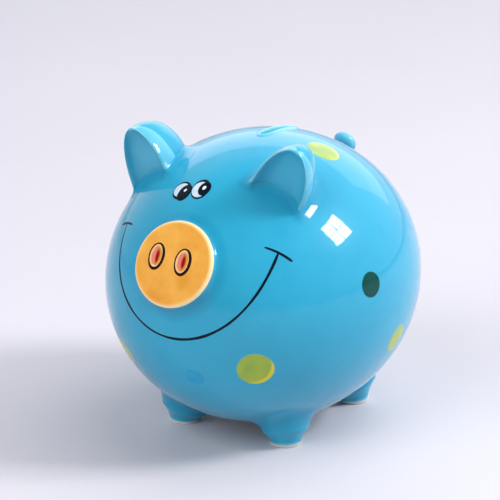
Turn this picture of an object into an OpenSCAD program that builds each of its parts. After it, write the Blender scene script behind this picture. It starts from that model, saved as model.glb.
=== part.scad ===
// Glazed ceramic piggy bank: a hollow slip-cast body with luted-on snout, ears,
// feet and tail, fired-on enamel marks, and a rubber stopper in the belly.
// +Z is up, the pig looks along -Y, and z = 0 is the table it stands on.

/* [Body] */
// Width across the flanks
body_w = 126; // [118:1:134]
// Length of the body alone, chest to rump
body_l = 141.2; // [134:0.2:150]
// Height of the body alone
body_h = 120; // [114:1:124]
// Height of the body's middle above the table
body_mid = 62; // [61:0.5:66]
// How far the body's middle lies behind the middle of the whole pig
body_back = 3.2; // [0:0.1:6]
// Thickness of the fired wall
wall = 4; // [3:0.5:5]

/* [Coin slot] */
// Length of the slot, along the spine
slot_l = 28; // [27:1:36]
// Width of the slot
slot_w = 4.6; // [4.4:0.1:6]
// How far the slot's middle lies behind the body's middle
slot_back = 10; // [0:1:12]
// Width of the soft lip round the slot
slot_lip_w = 3; // [2:0.5:4]
// Height of the soft lip round the slot
slot_lip_h = 1; // [0.4:0.1:1.5]

/* [Stopper] */
// Radius of the emptying hole in the belly
hole_r = 17.2; // [14:0.1:19]
// Height of the flat seat that the stopper's flange bears on
seat_z = 6.4; // [5.8:0.1:7]
// Radius of the stopper's flange
flange_r = 19.5; // [19:0.1:21]
// Thickness of the stopper's flange
flange_t = 2.2; // [1.5:0.1:2.6]
// Height of the stopper's plug above the seat
plug_h = 12; // [8:1:16]
// Running gap between the stopper's bead and the hole
plug_gap = 0.1; // [0.1:0.05:0.4]

/* [Snout] */
// Radius of the snout's face
snout_r = 17.6; // [15:0.1:20]
// Height of the snout's face above the middle of the body
snout_up = 24.5; // [20:0.5:28]
// How far the face stands in front of the body's middle
snout_fore = 68.5; // [67:0.5:70]
// How far the face looks upward
snout_tilt = 28; // [20:1:34]
// Half width and half height of a nostril
nostril_half = [3.2, 5];
// Middles of the two nostrils on the face, across and up
nostril_at = [[-8.3, 1.7], [4, 1.4]];
// Depth of the nostrils
nostril_deep = 1.2; // [0.6:0.1:2]

/* [Ears] */
// Left ear's root and tip: across, behind the body's middle, above the table
ear_left_at = [[22.3, -29.9, 102.5], [35, -34.1, 124.9]];
// Right ear's root and tip, in the same way but mirrored; it is set a little lower
ear_right_at = [[32.6, -26.5, 98.7], [39.5, -30, 120.9]];
// Radius of the ear at its root
ear_root_r = 13; // [12:0.5:14]
// Radius of the rounded tip
ear_tip_r = 7; // [6:0.1:8]
// Thickness of the back of the ear
ear_wall = 4.6; // [4:0.1:6]
// How far in front of the ear's axis its open side is cut
ear_open = 3; // [2:0.5:4]
// How far the cup of the ear looks outward
ear_yaw = 14; // [0:1:30]

/* [Feet] */
// How far the feet stand to either side
foot_side = 24.3; // [22:0.1:27]
// How far the front feet stand before the body's middle
foot_fore = 23; // [20:1:26]
// How far the rear feet stand behind the body's middle
foot_aft = 32.4; // [28:0.2:36]
// Radius of the ring that a foot stands on
foot_r = 6.4; // [5.4:0.1:7]
// Radius of a foot where it meets the belly
foot_top_r = 10.4; // [9.4:0.1:11]

/* [Tail] */
// Radius of the tail's rope of clay
tail_r = 2.8; // [2.6:0.1:3]
// Radius of its curl
tail_curl = 3.2; // [3.1:0.1:4]
// Angle above the horizontal at which the tail leaves the rump
tail_lift = 31; // [26:1:36]
// Distance of the curl from the body's middle
tail_out = 76; // [74:0.5:78]
// How far round the curl goes
tail_sweep = 280; // [180:10:290]

/* [Marks] */
// How far an enamel mark stands out of the glaze
mark_out = 0.15; // [0.1:0.05:0.3]
// How far a mark sinks into the glaze
mark_in = 0.2; // [0.1:0.05:0.4]
// Radius of the smile, seen from the front
smile_r = 35.4; // [32:0.1:38]
// Height of the smile's middle above the table
smile_z = 91.5; // [88:0.5:94]
// Width of the drawn lines
line_w = 0.9; // [0.6:0.1:1.4]
// Middles of the eyes, across and above the table
eye_at = [[-11.6, 107.9], [-3, 109.6]];
// Half width and half height of an eye, seen from the front
eye_half = [4.3, 2.9];
// Yellow spots: turn round the body from its front, lift above its middle, radius
yellow_spots = [[28.4, -14.5, 8], [94.7, -17, 6.5], [105, 65.5, 7.5], [-31, -20, 6.6],
                [-84, 22, 7.5], [157, 8, 8], [-138, -26, 6.5]];
// Green spots, in the same way
green_spots = [[74.3, 10.3, 5.5], [-62, -8, 5.6], [-160, 44, 6], [138, -34, 5.5]];
// Blue spots, in the same way
blue_spots = [[6.4, -19.2, 4.4], [120, 22, 6], [-117, 2, 5.5]];

/* [Hidden] */

half_w = body_w / 2;
half_l = body_l / 2;
half_h = body_h / 2;
lute = wall / 2;              // how deep the luted pieces are keyed into the wall
smooth = 128;                 // facets round the large curves
soft = 64;                    // facets round the small ones
chest_dir = -90;              // the pig's front, as a turn about +Z
seam_dir = 170;
slot_ends = (slot_l - slot_w) / 2;
flange_z = seat_z - flange_t;
bead_r = hole_r - plug_gap;
plug_top_r = hole_r - 2.6;
cup_r = plug_top_r - 1.8;     // hollow of the plug, open to the chamber
cup_floor = seat_z + 1.6;
grip_l = 22;                  // rib that is pinched to draw the stopper
grip_w = 3.2;
grip_h = 2.4;
iris_shift = [1.4, -0.4];     // the pupils look to the pig's left
pupil_half = [2.3, 2.1];
glint_r = 0.75;
rim_w = 0.45;                 // width of the drawn line round an eye
nostril_line = 0.9;

blue = [0.16, 0.62, 0.83];
orange = [0.98, 0.70, 0.28];

// The egg-shaped body, grown outward by a distance. Its seam is turned to a flank
// where no spot or luted piece lies.
module oval(grow = 0) {
    translate([0, body_back, body_mid])
        scale([1, (half_l + grow) / (half_w + grow), (half_h + grow) / (half_w + grow)])
            rotate([0, 0, seam_dir]) sphere(r = half_w + grow, $fn = smooth);
}

// A thin skin on the body's surface, in which every enamel mark lies.
module skin() {
    difference() {
        oval(mark_out);
        oval(-mark_in);
    }
}

// A luted piece stops half way through the wall.
module luted() {
    difference() {
        children();
        oval(-lute);
    }
}

// A flat shape, seen from the front, as a prism through the front of the body.
module from_front(depth = 90) {
    rotate([90, 0, 0]) linear_extrude(height = depth) children();
}

// A stadium along Y.
module stadium(half, r) {
    translate([-r, -half]) square([2 * r, 2 * half]);
    for (end = [-half, half])
        translate([0, end]) circle(r = r, $fn = soft);
}

// Places a shape in the pig's middle, turned to a side and lifted.
module toward(turn, lift) {
    translate([0, body_back, body_mid])
        rotate([0, 0, chest_dir + turn])
            rotate([0, 90 - lift, 0])
                children();
}

// Round spots, each cut from the skin along the line from the body's middle.
module spots(list) {
    intersection() {
        skin();
        for (s = list)
            toward(s[0], s[1]) cylinder(r = s[2], h = body_l, $fn = soft);
    }
}

module body_shell() {
    color(blue) difference() {
        union() {
            oval();
            intersection() {
                oval(slot_lip_h);
                translate([0, body_back + slot_back, body_mid])
                    linear_extrude(height = body_h)
                        stadium(slot_ends, slot_w / 2 + slot_lip_w);
            }
        }
        oval(-wall);
        translate([0, body_back + slot_back, body_mid])
            linear_extrude(height = body_h) stadium(slot_ends, slot_w / 2);
        translate([0, body_back, -1]) {
            cylinder(r = flange_r + 0.6, h = seat_z + 1, $fn = smooth);
            cylinder(r = hole_r, h = body_mid / 2, $fn = smooth);
        }
    }
}

// The snout's own frame: its face is the plane z = 0, looking along +Z.
module on_snout() {
    translate([0, body_back - snout_fore, body_mid + snout_up])
        rotate([90 - snout_tilt, 0, 0]) children();
}

module nostril(i, grow = 0) {
    translate(nostril_at[i])
        scale([1, (nostril_half[1] + grow) / (nostril_half[0] + grow)])
            circle(r = nostril_half[0] + grow, $fn = soft);
}

// A button with a rounded edge, keyed into the chest.
module snout() {
    edge = 1.6;
    root = 22;
    color(orange) luted() on_snout() difference() {
        rotate_extrude($fn = smooth) {
            translate([0, -root]) square([snout_r, root - edge]);
            translate([0, -edge]) square([snout_r - edge, edge]);
            translate([snout_r - edge, -edge]) circle(r = edge, $fn = soft);
        }
        for (i = [0, 1])
            translate([0, 0, -nostril_deep])
                linear_extrude(height = root) nostril(i);
    }
}

// A pinched cone from a root to a tip: thick behind, open in front, with a rounded end.
module ear(at) {
    root = at[0] + [0, body_back, 0];
    rise = at[1] - at[0];
    long = norm(rise);
    lean = acos(rise[2] / long);
    turn = atan2(rise[1], rise[0]);
    color(blue) luted() translate(root) rotate([0, lean, turn]) rotate([0, 0, -turn])
        rotate([0, 0, ear_yaw]) difference() {
            union() {
                cylinder(r1 = ear_root_r, r2 = ear_tip_r, h = long, $fn = soft);
                translate([0, 0, long]) sphere(r = ear_tip_r, $fn = soft);
            }
            translate([0, -ear_wall, -1])
                cylinder(r1 = ear_root_r - 1, r2 = ear_tip_r - 1, h = long + 3, $fn = soft);
            translate([-ear_root_r, -3 * ear_root_r - ear_open, -1])
                cube([2 * ear_root_r, 3 * ear_root_r, 2 * long]);
        }
}

module ear_left() { ear(ear_left_at); }
module ear_right() { mirror([1, 0, 0]) ear(ear_right_at); }

// A stub that widens upward, with an eased edge round its sole.
module foot(side, along) {
    color(blue) luted() translate([side, body_back + along, 0])
        rotate_extrude($fn = soft)
            polygon([[0, 0], [foot_r - 0.9, 0], [foot_r - 0.2, 0.4], [foot_r + 0.4, 1.6],
                     [foot_r + 1.1, 4], [foot_top_r - 0.9, 9], [foot_top_r, 12.5],
                     [foot_top_r, 20], [0, 20]]);
}

module foot_front_left() { foot(foot_side, -foot_fore); }
module foot_front_right() { foot(-foot_side, -foot_fore); }
module foot_rear_left() { foot(foot_side, foot_aft); }
module foot_rear_right() { foot(-foot_side, foot_aft); }

// A short rope of clay that leaves the rump and curls round once in front of it.
module tail() {
    color(blue) luted() toward(180, tail_lift) {
        translate([tail_curl, 0, tail_out - 24]) cylinder(r = tail_r, h = 24, $fn = soft);
        translate([0, 0, tail_out]) {
            rotate_extrude(angle = tail_sweep, $fn = soft)
                translate([tail_curl, 0]) circle(r = tail_r, $fn = soft);
            for (end = [0, tail_sweep])
                rotate([0, 0, end]) translate([tail_curl, 0, 0])
                    sphere(r = tail_r + 0.2, $fn = soft);
        }
    }
}

// A soft bung: flange, neck with a sealing bead, hollow plug and a rib to pinch.
module stopper() {
    color([0.93, 0.93, 0.90]) translate([0, body_back, 0]) {
        difference() {
            rotate_extrude($fn = smooth)
                polygon([[0, flange_z], [flange_r - 0.8, flange_z], [flange_r, flange_z + 0.8],
                         [flange_r, seat_z - 0.4], [flange_r - 0.4, seat_z],
                         [bead_r - 0.5, seat_z], [bead_r - 0.5, seat_z + 3],
                         [bead_r, seat_z + 3.8], [bead_r, seat_z + 4.8],
                         [bead_r - 0.6, seat_z + 5.8], [plug_top_r, seat_z + plug_h - 1],
                         [plug_top_r - 1, seat_z + plug_h], [0, seat_z + plug_h]]);
            translate([0, 0, cup_floor]) cylinder(r = cup_r, h = plug_h, $fn = soft);
        }
        translate([0, 0, flange_z - grip_h])
            linear_extrude(height = grip_h + 0.5)
                stadium((grip_l - grip_w) / 2, grip_w / 2);
    }
}

// A half ring drawn round the cheeks, with a short tick across either end.
module smile_line() {
    tick_l = 11.2;
    color([0.05, 0.07, 0.20]) intersection() {
        skin();
        translate([0, body_back, 0]) union() {
            intersection() {
                translate([0, 0, smile_z]) from_front() difference() {
                    circle(r = smile_r + line_w / 2, $fn = smooth);
                    circle(r = smile_r - line_w / 2, $fn = smooth);
                }
                translate([-half_w, -half_l - 5, 0]) cube([body_w, half_l, smile_z]);
            }
            for (side = [-1, 1])
                translate([side * smile_r, 0, smile_z - 1]) from_front()
                    rotate(-side * 29) square([tick_l, line_w], center = true);
        }
    }
}

// One eye's oval, seen from the front and grown by a distance.
module eye(i, grow = 0) {
    translate([eye_at[i][0], eye_at[i][1]]) rotate(18)
        scale([1, (eye_half[1] + grow) / (eye_half[0] + grow)])
            circle(r = eye_half[0] + grow, $fn = soft);
}

module pupil(i) {
    translate([eye_at[i][0], eye_at[i][1]]) rotate(18) translate(iris_shift)
        scale([1, pupil_half[1] / pupil_half[0]]) circle(r = pupil_half[0], $fn = soft);
}

module glint(i) {
    translate([eye_at[i][0], eye_at[i][1]]) rotate(18) translate(iris_shift - [0.2, 0.2])
        circle(r = glint_r, $fn = soft);
}

module face_mark() {
    intersection() {
        skin();
        translate([0, body_back, 0]) from_front() children();
    }
}

module eye_whites() {
    color([0.80, 0.84, 0.88]) face_mark() difference() {
        union() for (i = [0, 1]) eye(i, -rim_w);
        pupil(0);
        pupil(1);
        difference() {
            eye(1);
            eye(1, -rim_w);
        }
    }
}

module eye_outlines() {
    color([0.03, 0.03, 0.05]) face_mark() {
        for (i = [0, 1]) {
            difference() {
                eye(i);
                eye(i, -rim_w);
            }
            difference() {
                pupil(i);
                glint(i);
            }
        }
    }
}

module eye_glints() {
    color([0.97, 0.97, 0.97]) face_mark() {
        glint(0);
        glint(1);
    }
}

// Dark rings round the nostrils, laid on the snout's face.
module nostril_rings() {
    color([0.16, 0.08, 0.05]) on_snout() translate([0, 0, -mark_in])
        linear_extrude(height = mark_in + mark_out)
            for (i = [0, 1]) difference() {
                nostril(i, nostril_line);
                nostril(i);
            }
}

// Red glaze pooled in the nostrils.
module nostril_reds() {
    color([0.75, 0.10, 0.10]) on_snout()
        translate([0, 0, -nostril_deep - mark_in])
            linear_extrude(height = 2 * mark_in) for (i = [0, 1]) nostril(i, -0.3);
}

module spots_yellow() { color([0.85, 0.87, 0.25]) spots(yellow_spots); }
module spots_green() { color([0.05, 0.42, 0.34]) spots(green_spots); }
module spots_blue() { color([0.12, 0.50, 0.78]) spots(blue_spots); }

body_shell();
snout();
ear_left();
ear_right();
foot_front_left();
foot_front_right();
foot_rear_left();
foot_rear_right();
tail();
stopper();
smile_line();
eye_whites();
eye_outlines();
eye_glints();
nostril_rings();
nostril_reds();
spots_yellow();
spots_green();
spots_blue();
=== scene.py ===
"""A glazed ceramic piggy bank: the finished surfaces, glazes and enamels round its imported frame."""

import bpy
import numpy as np
from bpy.props import FloatProperty, FloatVectorProperty, IntProperty, PointerProperty
from bpy.types import Operator, Panel, PropertyGroup
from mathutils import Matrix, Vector


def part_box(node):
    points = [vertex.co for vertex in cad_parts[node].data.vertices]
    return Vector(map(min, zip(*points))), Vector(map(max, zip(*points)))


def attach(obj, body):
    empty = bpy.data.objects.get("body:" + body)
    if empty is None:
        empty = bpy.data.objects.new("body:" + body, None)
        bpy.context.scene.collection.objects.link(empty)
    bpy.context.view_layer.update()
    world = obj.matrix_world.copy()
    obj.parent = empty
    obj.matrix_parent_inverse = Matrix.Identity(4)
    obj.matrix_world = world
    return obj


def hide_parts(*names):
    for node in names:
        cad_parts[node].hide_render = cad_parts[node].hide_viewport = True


bl_info = {
    "name": "Glazed piggy bank",
    "version": (1, 0, 0),
    "blender": (4, 5, 0),
    "location": "3D View > Sidebar > Piggy bank",
    "description": "Casts, lutes, glazes and paints a ceramic piggy bank round its frame",
    "category": "Add Mesh",
}

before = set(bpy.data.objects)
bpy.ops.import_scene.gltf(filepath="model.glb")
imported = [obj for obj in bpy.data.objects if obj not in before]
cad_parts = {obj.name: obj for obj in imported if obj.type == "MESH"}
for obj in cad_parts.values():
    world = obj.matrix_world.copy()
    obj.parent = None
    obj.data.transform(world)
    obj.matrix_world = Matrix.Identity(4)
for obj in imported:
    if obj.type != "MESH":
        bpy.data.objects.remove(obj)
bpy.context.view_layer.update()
SHELL_LOW, SHELL_HIGH = (np.array(corner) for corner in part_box("body_shell"))
STOPPER_LOW, STOPPER_HIGH = (np.array(corner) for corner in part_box("stopper"))
BODY_MIDDLE_Y = float(SHELL_LOW[1] + SHELL_HIGH[1]) / 2
TURN = 2 * np.pi
MM = 0.001
UP = np.array([0.0, 0.0, 1.0])
BACKWARD = np.array([0.0, 1.0, 0.0])
ACROSS = np.array([1.0, 0.0, 0.0])


# ---------------------------------------------------------------- sizes and colours


def length(label, text, value):
    """A size in metres with its name, description and default."""
    return FloatProperty(
        name=label, description=text, default=value, unit="LENGTH", subtype="DISTANCE", precision=5
    )


def angle(label, text, degrees):
    """An angle with its name, description and default in degrees."""
    return FloatProperty(
        name=label, description=text, default=float(np.radians(degrees)), unit="ROTATION",
        subtype="ANGLE",
    )


def tint(label, text, red, green, blue):
    """A colour given as it looks on a screen, from 0 to 255, and kept as light."""
    screen = np.array([red, green, blue]) / 255
    light = np.where(screen > 0.04045, ((screen + 0.055) / 1.055) ** 2.4, screen / 12.92)
    return FloatVectorProperty(
        name=label, description=text, default=tuple(light), min=0, max=1, size=3, subtype="COLOR"
    )


class PigSizes(PropertyGroup):
    """Sizes of the pig that the frame doesn't already fix."""

    body_height: length("Body height", "Height of the body alone", 0.120)
    middle_height: length("Middle height", "Height of the body's middle", 0.062)
    wall: length("Wall", "Thickness of the fired wall", 0.004)
    slot_length: length("Slot length", "Length of the coin slot", 0.0265)
    slot_width: length("Slot width", "Width of the coin slot", 0.0036)
    slot_back: length("Slot place", "How far the slot lies behind the middle", 0.0112)
    slot_lip: length("Slot lip", "Height of the soft lip round the slot", 0.0007)
    pocket_radius: length("Pocket radius", "Recess in the belly for the flange", 0.0201)
    seat_height: length("Seat height", "Height of the seat in the belly", 0.0064)
    hole_radius: length("Hole radius", "Hole in the belly", 0.0172)
    snout_radius: length("Snout radius", "Radius of the snout's face", 0.0175)
    snout_side: length("Snout offset", "How far the snout sits towards the pig's left", -0.0008)
    snout_up: length("Snout height", "Height of the snout above the middle", 0.0245)
    snout_fore: length("Snout reach", "How far the snout stands in front", 0.068)
    snout_tilt: angle("Snout tilt", "How far the snout looks upward", 28)
    ear_yaw: angle("Ear yaw", "How far an ear's cup looks outward", 8)
    foot_radius: length("Foot radius", "Radius of a foot's sole", 0.0065)
    foot_side: length("Foot side", "How far the feet stand to either side", 0.0243)
    foot_fore: length("Front feet", "How far the front feet stand in front", 0.023)
    foot_aft: length("Rear feet", "How far the rear feet stand behind", 0.0324)
    tail_radius: length("Tail radius", "Radius of the tail's rope", 0.0029)
    tail_curl: length("Tail curl", "Radius of the tail's curl", 0.0031)
    line_width: length("Line width", "Width of the drawn lines", 0.00106)


class PigColours(PropertyGroup):
    """Glazes, enamels and the rest of the colours."""

    blue: tint("Blue glaze", "Glaze at its usual thickness", 48, 162, 196)
    deep: tint("Deep glaze", "Glaze where it pools", 8, 126, 164)
    # The same pale colour also stands as a painted reflection over the tail and in the ears' cups.
    thin: tint("Thin glaze", "Glaze where it runs thin on an edge", 140, 212, 230)
    bisque: tint("Bisque", "Bare clay under the feet", 226, 214, 200)
    orange: tint("Orange glaze", "The snout's face", 250, 188, 88)
    amber: tint("Amber glaze", "The snout's face where the glaze pools", 228, 152, 52)
    cream: tint("Cream", "The snout's rim", 250, 226, 176)
    ink: tint("Ink", "Smile and eyes", 3, 6, 18)
    white: tint("Eye white", "Whites of the eyes", 176, 196, 214)
    glint: tint("Glint", "Glints in the eyes", 245, 248, 250)
    brown: tint("Brown", "Rings round the nostrils", 52, 22, 8)
    red: tint("Red", "Middle of a nostril", 158, 10, 8)
    pink: tint("Pink", "Pale side of a nostril", 236, 128, 120)
    yellow: tint("Yellow", "Yellow spots", 166, 184, 56)
    lemon: tint("Lemon", "Yellow where a spot was dabbed twice", 214, 202, 44)
    lime: tint("Lime", "Yellow spots where the blue shows through", 128, 164, 74)
    green: tint("Green", "Green spots", 0, 60, 42)
    cobalt: tint("Cobalt", "Blue spots", 6, 148, 196)
    rubber: tint("Rubber", "The stopper", 226, 226, 218)
    table: tint("Table", "The floor", 204, 200, 206)


# ---------------------------------------------------------------- shapes


def ease(value, start=0.0, end=1.0):
    """0 before start and 1 after end, with an S-curve of the third degree between them."""
    share = np.clip((value - start) / (end - start), 0, 1)
    return share * share * (3 - 2 * share)


def unit(vectors):
    """Each vector divided by its own length."""
    return vectors / np.linalg.norm(vectors, axis=-1, keepdims=True)


def round_turn(count):
    """Angles of one full turn, evenly spaced, without the last."""
    return np.arange(count) * TURN / count


class Shell:
    """The egg-shaped body: a sphere stretched to three half sizes, with a slight swell."""

    swell_height = 0.00012
    waves = np.random.default_rng(7).normal(size=(6, 3)) * 2.6

    def __init__(self, sizes):
        self.half = np.array(
            [(SHELL_HIGH[0] - SHELL_LOW[0]) / 2, (SHELL_HIGH[1] - SHELL_LOW[1]) / 2,
             sizes.body_height / 2]
        )
        self.middle = np.array([0.0, BODY_MIDDLE_Y, sizes.middle_height])

    def swell(self, ways):
        """The mean of six long sine waves across the direction, times the swell's height."""
        turns = ways @ self.waves.T + np.arange(len(self.waves))
        return self.swell_height * np.sin(turns).mean(-1)

    def normal(self, ways):
        """The egg's outward normal: the direction divided by the half sizes."""
        return unit(ways / self.half)

    def point(self, ways, lift=0.0):
        """Direction on a unit sphere times the half sizes, moved out along the normal."""
        out = self.swell(ways) + lift
        return self.middle + ways * self.half + self.normal(ways) * out[..., None]

    def drop(self, points, along):
        """Directions where straight lines from far outside, along a way, first meet the egg."""
        far = (points - along * 0.3 - self.middle) / self.half
        step = along / self.half
        a = step @ step
        b = far @ step
        c = (far * far).sum(-1) - 1
        reach = (-b - np.sqrt(np.maximum(b * b - a * c, 0))) / a
        return unit(far + step * reach[..., None])

    def front(self, flat, lift=0.0):
        """A flat drawing, across and up, laid on the body from straight in front."""
        points = flat[..., :1] * ACROSS + flat[..., 1:] * UP
        return self.point(self.drop(points, BACKWARD), lift)


def bridge(start, leave, end, arrive, rows):
    """Rows between two rings: each column is a cubic curve that leaves one ring along leave
    and comes into the other from arrive."""
    t = np.linspace(0, 1, rows)[:, None, None]
    pull, draw = start + leave, end + arrive
    return (
        (1 - t) ** 3 * start + 3 * (1 - t) ** 2 * t * pull
        + 3 * (1 - t) * t**2 * draw + t**3 * end
    )


SINK = 0.000012  # how far a fillet's edge lies under the glaze of the wall
ROOT = 0.0012  # how far a luted piece's root is buried in the wall
FIRST_COAT = 0.00004  # heights of the enamels above their ground, one over another
SECOND_COAT = 0.00007
THIRD_COAT = 0.00010
LAST_COAT = 0.00013
LINE_RISE = 0.00005  # half the thickness of a drawn line


def luting(shell, ring, along, reach, rows=16, grip=0.62):
    """The clay fillet from a ring of a luted piece onto the body. Each column falls along a
    way, then turns and runs out tangent to the wall; reach is how far beyond the ring it
    lands. The last row is sunk in the wall. Gives the rows after the ring and the root's pole."""
    tangent = np.roll(ring, -1, 0) - np.roll(ring, 1, 0)
    outward = unit(np.cross(tangent, along))
    if ((ring - ring.mean(0)) * outward).sum() < 0:
        outward = -outward
    under = shell.drop(ring, along)
    landing = shell.drop(ring + outward * np.broadcast_to(reach, len(ring))[:, None], along)
    below, edge = shell.point(under), shell.point(landing, -SINK)
    normal = shell.normal(landing)
    inward = below - edge
    inward = inward - normal * (inward * normal).sum(-1, keepdims=True)
    fillet = bridge(ring, (below - ring) * grip, edge, inward * grip, rows)
    sunk = shell.point(landing, -ROOT)
    pole = shell.point(unit(under.mean(0)), -2 * ROOT)
    return np.concatenate([fillet[1:], sunk[None]]), pole


def part(grid, first=None, last=None, ring=False, marks=None):
    """Points and faces of one closed surface. Columns run round it; first and last are poles
    that close its ends, and a ring joins its last row to its first. marks are values by name
    for each point of the grid. Faces are turned outward by the sign of the volume."""
    rows, cols = grid.shape[:2]
    index = np.arange(rows * cols).reshape(rows, cols)
    band = np.vstack([index, index[:1]]) if ring else index
    near, far = band[:-1], band[1:]
    quads = np.stack([near, np.roll(near, -1, 1), np.roll(far, -1, 1), far], -1).reshape(-1, 4)
    points = grid.reshape(-1, 3)
    values = {name: np.broadcast_to(v, (rows, cols)).ravel() for name, v in (marks or {}).items()}
    fans = []
    for pole, edge, turn in ((first, index[0], -1), (last, index[-1], 1)):
        if pole is None:
            continue
        tip = np.full(cols, len(points))
        points = np.vstack([points, pole])
        values = {name: np.append(v, v[edge].mean()) for name, v in values.items()}
        fans.append(np.stack([tip, edge, np.roll(edge, -1)][:: turn], -1))
    tris = np.vstack(fans) if fans else np.zeros((0, 3), int)
    every = np.vstack([tris, quads[:, [0, 1, 2]], quads[:, [0, 2, 3]]])
    a, b, c = (points[every[:, corner]] for corner in range(3))
    if np.einsum("ij,ij->", a, np.cross(b, c)) < 0:
        quads, tris = quads[:, ::-1], tris[:, ::-1]
    return points, quads, tris, values


def piece(name, parts):
    """One smooth mesh object from several closed surfaces."""
    points, corners, counts, marks = [], [], [], {}
    start = 0
    names = {key for found in parts for key in found[3]}
    for at, quads, tris, values in parts:
        points.append(at)
        corners += [(quads + start).ravel(), (tris + start).ravel()]
        counts += [np.full(len(quads), 4), np.full(len(tris), 3)]
        for key in names:
            marks.setdefault(key, []).append(values.get(key, np.zeros(len(at))))
        start += len(at)
    points, corners, counts = (np.concatenate(found) for found in (points, corners, counts))
    mesh = bpy.data.meshes.new(name)
    mesh.vertices.add(len(points))
    mesh.vertices.foreach_set("co", points.astype(np.float32).ravel())
    mesh.loops.add(len(corners))
    mesh.loops.foreach_set("vertex_index", corners.astype(np.int32))
    mesh.polygons.add(len(counts))
    mesh.polygons.foreach_set("loop_start", (np.cumsum(counts) - counts).astype(np.int32))
    mesh.update(calc_edges=True)
    mesh.shade_smooth()
    for key, found in marks.items():
        layer = mesh.attributes.new(key, "FLOAT", "POINT")
        layer.data.foreach_set("value", np.concatenate(found).astype(np.float32))
    if mesh.validate():
        raise RuntimeError(f"{name} had faces that had to be mended")
    made = bpy.data.objects.new(name, mesh)
    bpy.context.scene.collection.objects.link(made)
    return made


def lens(ground, outline, lift, depth=0.00012, rows=10):
    """A thin lens of enamel laid on a ground: rings of the outline shrunk to its middle, with
    a flat top that eases down at the edge, then an underside a little below the ground."""
    middle = outline.mean(0)
    top = np.sin(np.linspace(0.06, 1, rows) * np.pi / 2)
    under = np.linspace(0.97, 0.15, 4)
    share = np.concatenate([top, under])
    rise = np.concatenate([lift - (lift + depth) * top**24, np.full(len(under), -depth)])
    flat = middle + (outline - middle) * share[:, None, None]
    grid = ground(flat, np.broadcast_to(rise[:, None], flat.shape[:2]))
    poles = ground(np.array([middle, middle]), np.array([lift, -depth]))
    return part(grid, poles[0], poles[1], marks={"edge": share[:, None]})


def stroke(ground, path, half_width, height, closed=False, corners=12):
    """A drawn line: a flattened ring carried along a path on a ground. The ring is half_width
    to either side and height up and down; an open line has a pole at either end."""
    angles = round_turn(corners)
    middle = ground(path, np.zeros(len(path)))
    normal = unit(ground(path, np.full(len(path), MM)) - middle)
    if closed:
        way = np.roll(middle, -1, 0) - np.roll(middle, 1, 0)
    else:
        way = np.gradient(middle, axis=0)
    side = unit(np.cross(normal, way))
    wide = np.broadcast_to(half_width, len(path))[:, None, None]
    high = np.broadcast_to(height, len(path))[:, None, None]
    grid = (
        middle[:, None] + side[:, None] * wide * np.cos(angles)[None, :, None]
        + normal[:, None] * high * np.sin(angles)[None, :, None]
    )
    ends = (None, None) if closed else (middle[0], middle[-1])
    return part(grid, *ends, ring=closed)


def oval(middle, half, tilt=0.0, count=72, wobble=0.0, seed=0):
    """An ellipse as points across and up, turned by a tilt in degrees, with a hand-drawn
    wobble of the second to fourth harmonic."""
    turn = round_turn(count)
    draws = np.random.default_rng(seed).uniform(0, TURN, 3)
    waver = 1 + wobble * sum(np.sin(k * turn + draws[k - 2]) / k for k in (2, 3, 4))
    flat = np.stack([half[0] * np.cos(turn), half[1] * np.sin(turn)], -1) * waver[:, None]
    c, s = np.cos(np.radians(tilt)), np.sin(np.radians(tilt))
    return np.array(middle) + flat @ np.array([[c, s], [-s, c]])


# ---------------------------------------------------------------- finishes


class Value:
    """A number in a shader. Python's own signs add its Math nodes."""

    def __init__(self, finish, socket):
        self.finish = finish
        self.socket = socket

    def math(self, operation, *values):
        inputs = dict(enumerate(values))
        return self.finish.node("ShaderNodeMath", {"operation": operation}, inputs)

    def __add__(self, other):
        return self.math("ADD", self, other)

    def __rsub__(self, other):
        return self.math("SUBTRACT", other, self)

    def __mul__(self, other):
        return self.math("MULTIPLY", self, other)

    __radd__ = __add__
    __rmul__ = __mul__

    def between(self, low, high):
        """0 at low and 1 at high, straight between them and level outside."""
        settings = {"clamp": True}
        inputs = {"Value": self, "From Min": low, "From Max": high}
        return self.finish.node("ShaderNodeMapRange", settings, inputs)


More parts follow.
